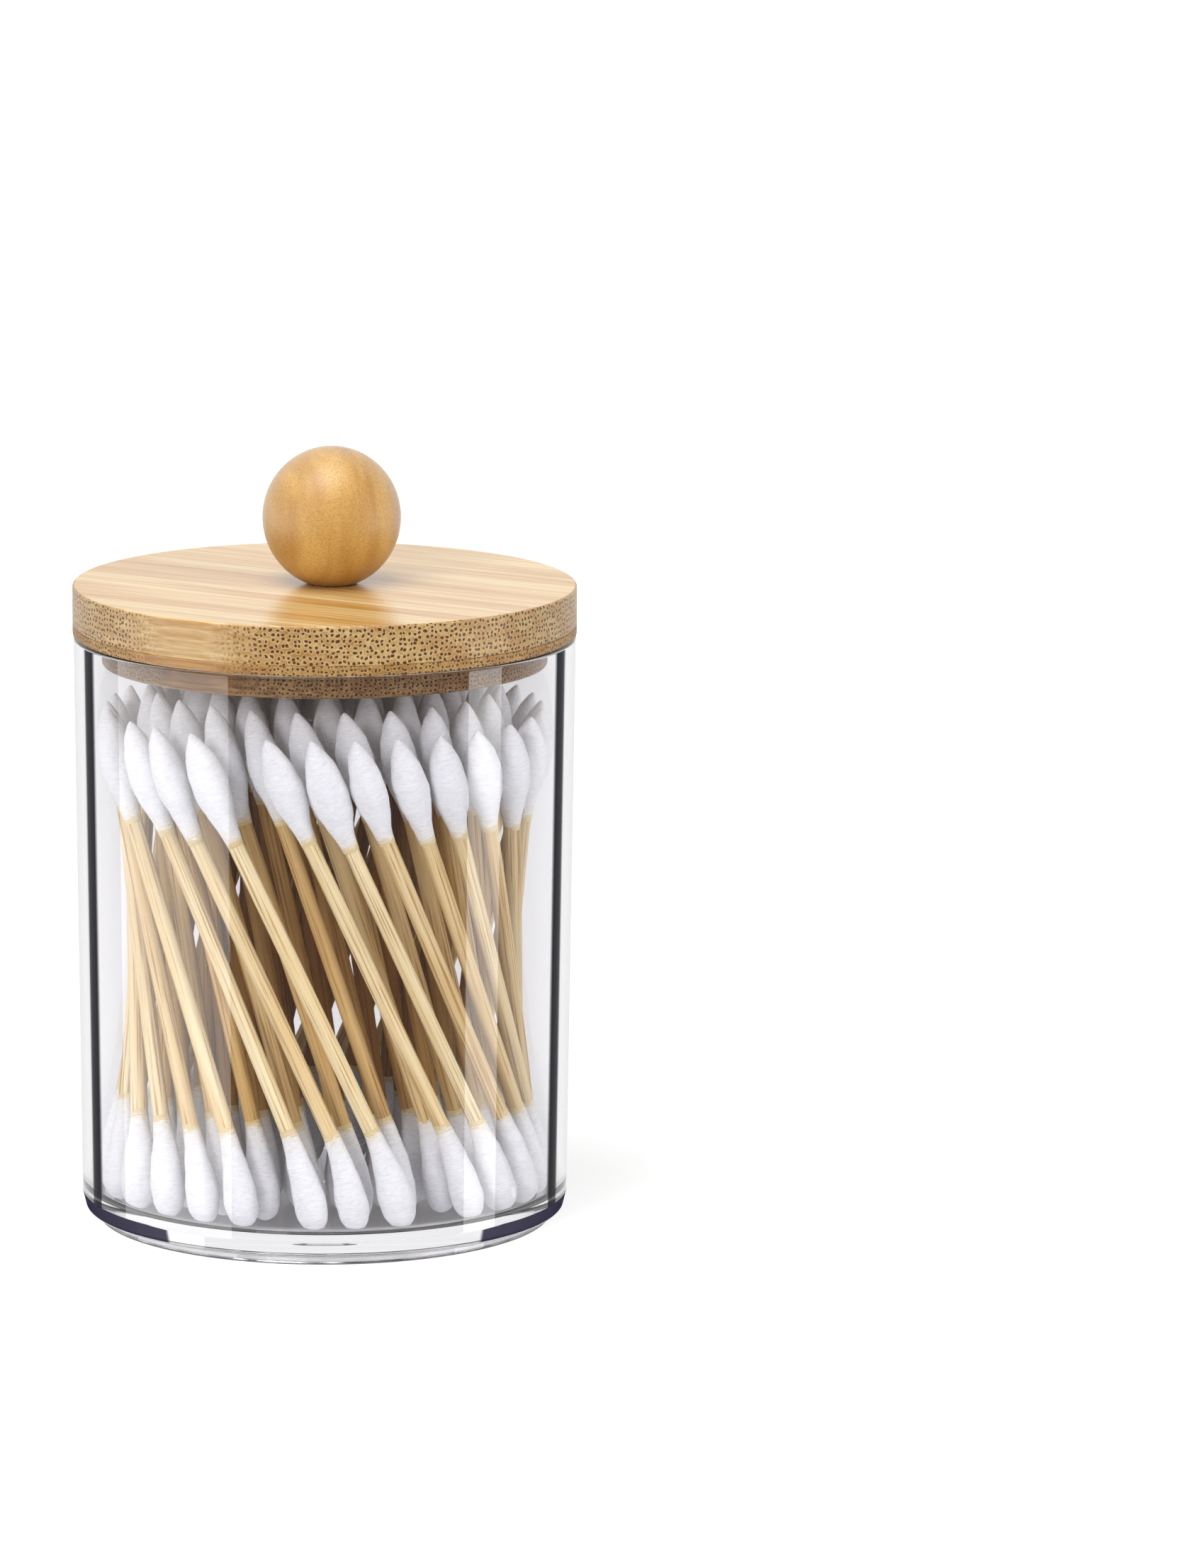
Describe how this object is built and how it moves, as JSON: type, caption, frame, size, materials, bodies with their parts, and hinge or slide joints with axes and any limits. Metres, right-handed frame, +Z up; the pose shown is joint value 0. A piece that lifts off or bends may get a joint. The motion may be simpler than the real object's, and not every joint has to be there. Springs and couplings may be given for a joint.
{
  "type": "cotton swab holder",
  "caption": "Clear round jar with a plug-fit bamboo lid and ball knob, full of cotton swabs standing in a twisted bundle.",
  "frame": {"origin": "middle of the jar's foot, on the surface it stands on", "axes": "+Z up along the jar's axis; the front seen in the picture faces -Y, and +X is to the viewer's right"},
  "size_m": [0.0734, 0.0734, 0.1141],
  "materials": {
    "clear_plastic": "polished clear styrene moulding",
    "bamboo_board": "sanded bamboo board, thin clear oil",
    "bamboo_ply": "sanded bamboo ply",
    "bamboo_plug": "sanded bamboo",
    "knob_wood": "turned bamboo, sanded, satin lacquer",
    "dowel_wood": "plain dowel",
    "swab_cotton": "wound cotton",
    "swab_stick": "plain bamboo stick",
    "clear_glue": "dried glue"
  },
  "bodies": {
    "jar": {"jar_body": "clear_plastic", "swab_01": "swab_cotton", "swab_02": "swab_cotton", "swab_03": "swab_cotton", "swab_04": "swab_cotton", "swab_05": "swab_cotton", "swab_06": "swab_cotton", "swab_07": "swab_cotton", "swab_08": "swab_cotton", "swab_09": "swab_cotton", "swab_10": "swab_cotton", "swab_11": "swab_cotton", "swab_12": "swab_cotton", "swab_13": "swab_cotton", "swab_14": "swab_cotton", "swab_15": "swab_cotton", "swab_16": "swab_cotton", "swab_17": "swab_cotton", "swab_18": "swab_cotton", "swab_19": "swab_cotton", "swab_20": "swab_cotton", "swab_21": "swab_cotton", "swab_22": "swab_cotton", "swab_23": "swab_cotton", "swab_24": "swab_cotton", "swab_25": "swab_cotton", "swab_26": "swab_cotton", "swab_27": "swab_cotton", "swab_28": "swab_cotton", "swab_29": "swab_cotton", "swab_30": "swab_cotton", "swab_31": "swab_cotton", "swab_32": "swab_cotton", "swab_33": "swab_cotton", "swab_34": "swab_cotton", "swab_35": "swab_cotton", "swab_36": "swab_cotton", "swab_37": "swab_cotton", "swab_38": "swab_cotton", "swab_39": "swab_cotton", "swab_40": "swab_cotton", "swab_41": "swab_cotton", "swab_42": "swab_cotton", "swab_43": "swab_cotton", "swab_44": "swab_cotton", "swab_45": "swab_cotton", "swab_46": "swab_cotton", "swab_47": "swab_cotton", "swab_48": "swab_cotton", "swab_49": "swab_cotton", "swab_50": "swab_cotton", "swab_51": "swab_cotton", "swab_52": "swab_cotton", "swab_53": "swab_cotton", "core_swabs": "swab_cotton"},
    "lid": {"lid_board": "bamboo_board", "lid_ply": "bamboo_ply", "plug_disc": "bamboo_plug", "knob": "knob_wood", "knob_dowel": "dowel_wood"}
  },
  "joints": [
    {"name": "lid_lift", "type": "slide", "parent": "jar", "child": "lid", "axis": [0, 0, 1], "range_m": [0, 0.09]}
  ]
}
